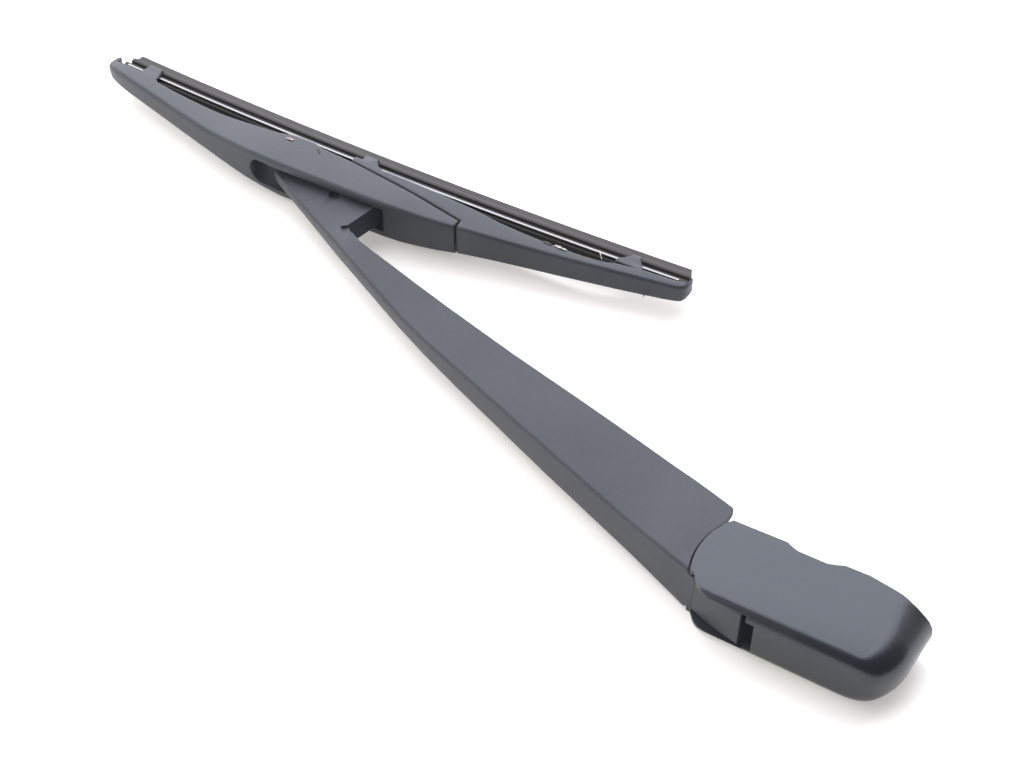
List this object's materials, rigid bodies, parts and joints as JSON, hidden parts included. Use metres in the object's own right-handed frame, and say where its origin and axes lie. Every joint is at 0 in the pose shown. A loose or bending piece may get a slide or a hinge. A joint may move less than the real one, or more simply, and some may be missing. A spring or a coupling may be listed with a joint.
{
  "type": "rear wiper arm with blade",
  "caption": "Rear window wiper: sprung moulded arm on a spindle head with a flip-up cap, carrying a slotted lever blade with a rubber squeegee.",
  "frame": {"origin": "centre of the spindle bore's mouth on the head's glass-side face", "axes": "+X from the spindle towards the blade's free end, +Y away from the glass, +Z across the arm; the part lies on its lower flank at Z = -11 mm"},
  "size_m": [0.4405, 0.156, 0.022],
  "materials": {
    "moulded_black": "fine grained satin",
    "die_cast": "as cast, matt",
    "steel": "satin",
    "lip_rubber": "dull, slightly dusty"
  },
  "bodies": {
    "base": {"head": "die_cast", "hinge_pin": "steel", "spring_hook_pin": "steel"},
    "cap": {"head_cap": "moulded_black"},
    "arm": {"arm": "moulded_black", "spring_anchor_pin": "steel"},
    "link": {"spring_link": "steel"},
    "spring": {"tension_spring": "steel"},
    "blade": {"primary_lever": "moulded_black", "pivot_pin": "moulded_black", "yoke_pin": "steel", "wiper_rubber": "lip_rubber", "backing_strip_upper": "steel", "backing_strip_lower": "steel"},
    "yoke": {"yoke": "moulded_black"}
  },
  "joints": [
    {"name": "arm_lift", "type": "hinge", "parent": "base", "child": "arm", "pos_m": [0.038, 0.022, 0], "axis": [0, 0, 1], "range_deg": [0, 55], "deforming": ["tension_spring"]},
    {"name": "cap_flip", "type": "hinge", "parent": "base", "child": "cap", "pos_m": [0.038, 0.022, 0], "axis": [0, 0, -1], "range_deg": [0, 50]},
    {"name": "link_swing", "type": "hinge", "parent": "base", "child": "link", "pos_m": [0.025, 0.0155, 0], "axis": [0, 0, 1], "range_deg": [0, 46]},
    {"name": "spring_swing", "type": "hinge", "parent": "arm", "child": "spring", "pos_m": [0.095, 0, 0], "axis": [0, 0, 1], "range_deg": [-11, 0]},
    {"name": "blade_pivot", "type": "hinge", "parent": "arm", "child": "blade", "pos_m": [0.268, -0.088, 0], "axis": [0, 0, 1], "range_deg": [-22, 20]},
    {"name": "yoke_rock", "type": "hinge", "parent": "blade", "child": "yoke", "pos_m": [0.226, -0.0874, 0], "axis": [0, 0, 1], "range_deg": [-4, 0.5], "deforming": ["wiper_rubber", "backing_strip_upper", "backing_strip_lower"]}
  ],
  "couplings": [
    {"joint": "link_swing", "follows": "arm_lift", "ratio": 0.818},
    {"joint": "spring_swing", "follows": "arm_lift", "ratio": -0.182}
  ]
}
